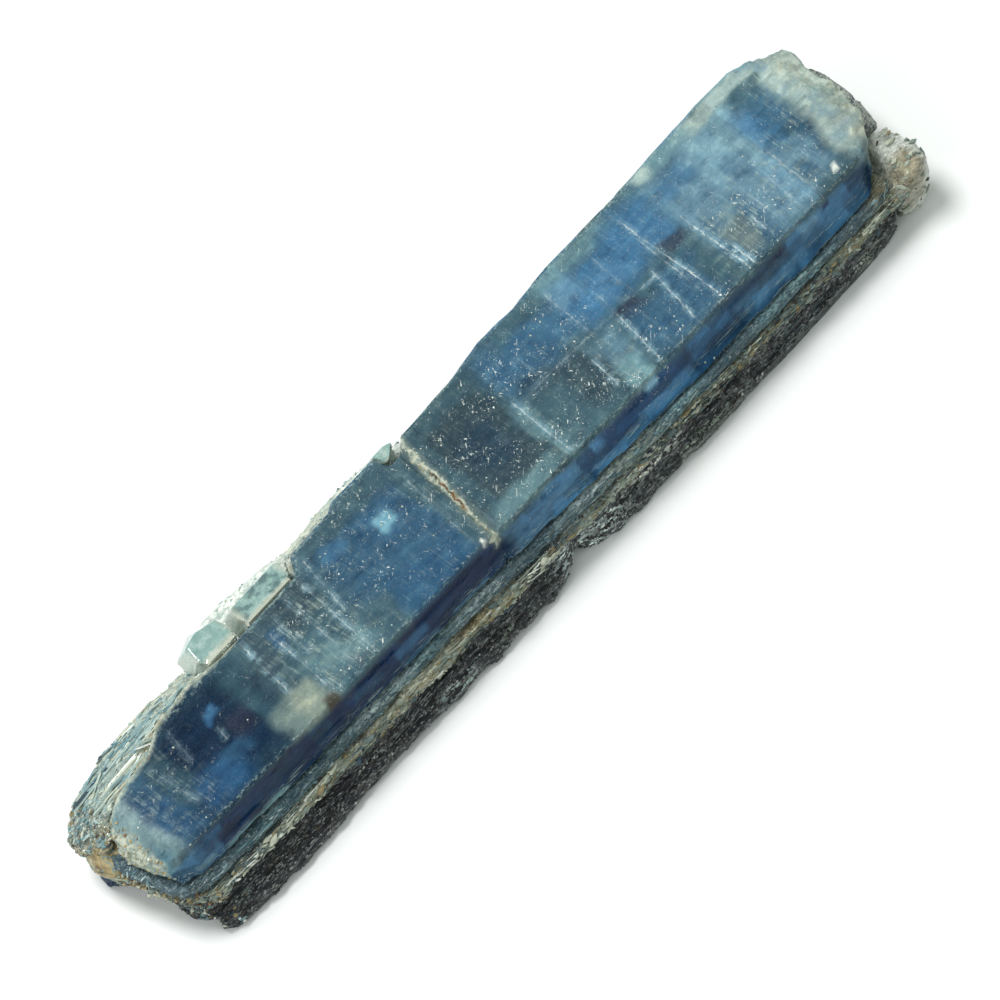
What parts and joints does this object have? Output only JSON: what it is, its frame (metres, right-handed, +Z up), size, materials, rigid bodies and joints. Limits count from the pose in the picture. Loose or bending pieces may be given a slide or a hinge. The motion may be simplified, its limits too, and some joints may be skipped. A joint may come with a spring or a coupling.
{
  "type": "kyanite blade cluster",
  "caption": "Natural cluster of long flat kyanite blades grown parallel, a broad blue blade on thinner pale blades with a seam of black mica, lying flat.",
  "frame": {"origin": "middle of the cluster on the surface it lies on", "axes": "+X along the blades, from the end with the fibrous side crystals to the end with the blunt cream tip; +Z up, square to the broad face; -Y is the bevelled side with the mica seam"},
  "size_m": [0.07, 0.0142, 0.0081],
  "materials": {
    "blue_kyanite": "glassy",
    "grey_kyanite": "rough",
    "cream_kyanite": "rough",
    "black_mica": "glittering",
    "dark_kyanite": "glassy",
    "green_kyanite": "fibrous",
    "pale_kyanite": "satin",
    "clear_kyanite": "glassy"
  },
  "bodies": {
    "root": {"main_blade": "blue_kyanite", "grey_blade": "grey_kyanite", "cream_blade": "cream_kyanite", "mica_seam": "black_mica", "dark_blade": "dark_kyanite", "side_blade": "green_kyanite", "back_blade": "pale_kyanite", "hex_crystal": "clear_kyanite", "bar_crystal": "clear_kyanite", "corner_chip": "pale_kyanite"}
  },
  "joints": []
}
